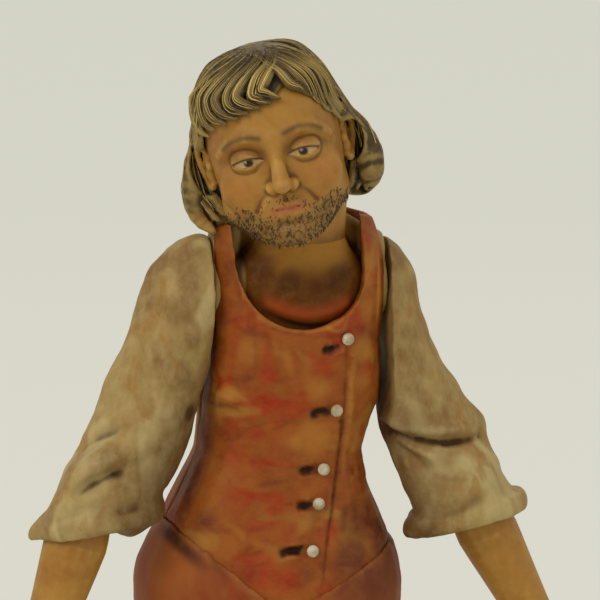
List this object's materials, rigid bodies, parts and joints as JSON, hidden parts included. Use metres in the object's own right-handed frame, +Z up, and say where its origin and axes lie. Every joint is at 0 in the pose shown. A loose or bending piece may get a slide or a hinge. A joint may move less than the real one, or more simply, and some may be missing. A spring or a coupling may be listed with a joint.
{
  "type": "nativity scene figure",
  "caption": "Standing painted figure in a buttoned waistcoat and rolled shirt sleeves, on a small ground base, with a head that turns and arms that swing and turn on pins.",
  "frame": {"origin": "on the underside of the ground base, below the figure's middle plane", "axes": "+Z up, the picture's camera looks along +Y, +X to the viewer's right (the figure's left)"},
  "size_m": [0.0605, 0.0364, 0.1247],
  "materials": {
    "skin": "hand-painted ochre skin with a dark wash",
    "hair": "dark brown-grey paint, dry-brushed ochre",
    "waistcoat": "rust-red paint with a brown wash",
    "shirt": "cream paint with an umber wash",
    "breeches": "red-brown paint with a dark wash",
    "stocking": "cream-grey paint with an umber wash",
    "shoe": "dark brown satin paint",
    "pearl": "pale paint dots",
    "ground": "earth-coloured paint, dry-brushed",
    "pin": "drawn wire"
  },
  "bodies": {
    "body": {"ground_base": "ground", "right_shoe": "shoe", "left_shoe": "shoe", "right_stocking": "stocking", "left_stocking": "stocking", "right_knee_band": "breeches", "left_knee_band": "breeches", "right_leg_pin": "pin", "left_leg_pin": "pin", "breeches": "breeches", "hip_dowel": "pin", "torso": "shirt", "neck_pin": "pin", "waistcoat_front": "waistcoat", "waistcoat_back": "waistcoat", "button_1": "pearl", "button_2": "pearl", "button_3": "pearl", "button_4": "pearl", "button_5": "pearl", "right_shoulder_pin": "pin", "left_shoulder_pin": "pin"},
    "head": {"head": "skin", "hair": "hair"},
    "right_arm": {"right_sleeve": "shirt", "right_cuff": "shirt", "right_elbow_pin": "pin"},
    "left_arm": {"left_sleeve": "shirt", "left_cuff": "shirt", "left_elbow_pin": "pin"},
    "right_forearm": {"right_forearm": "skin"},
    "left_forearm": {"left_forearm": "skin"}
  },
  "joints": [
    {"name": "head_turn", "type": "hinge", "parent": "body", "child": "head", "pos_m": [0.00202, -0.0021, 0.0984], "axis": [0.0468, -0.2026, 0.9781], "range_deg": [-30, 30]},
    {"name": "right_arm_swing", "type": "hinge", "parent": "body", "child": "right_arm", "pos_m": [-0.0064, -0.00363, 0.101], "axis": [-0.9744, -0.225, 0], "range_deg": [-20, 70]},
    {"name": "left_arm_swing", "type": "hinge", "parent": "body", "child": "left_arm", "pos_m": [0.01026, 0.00021, 0.101], "axis": [-0.9744, -0.225, 0], "range_deg": [-20, 70]},
    {"name": "right_forearm_turn", "type": "hinge", "parent": "right_arm", "child": "right_forearm", "pos_m": [-0.01799, -0.00779, 0.08039], "axis": [0.3024, 0.1375, 0.9432], "range_deg": [-40, 40]},
    {"name": "left_forearm_turn", "type": "hinge", "parent": "left_arm", "child": "left_forearm", "pos_m": [0.01903, 0.00071, 0.07976], "axis": [-0.4638, -0.0436, 0.8849], "range_deg": [-40, 40]}
  ]
}
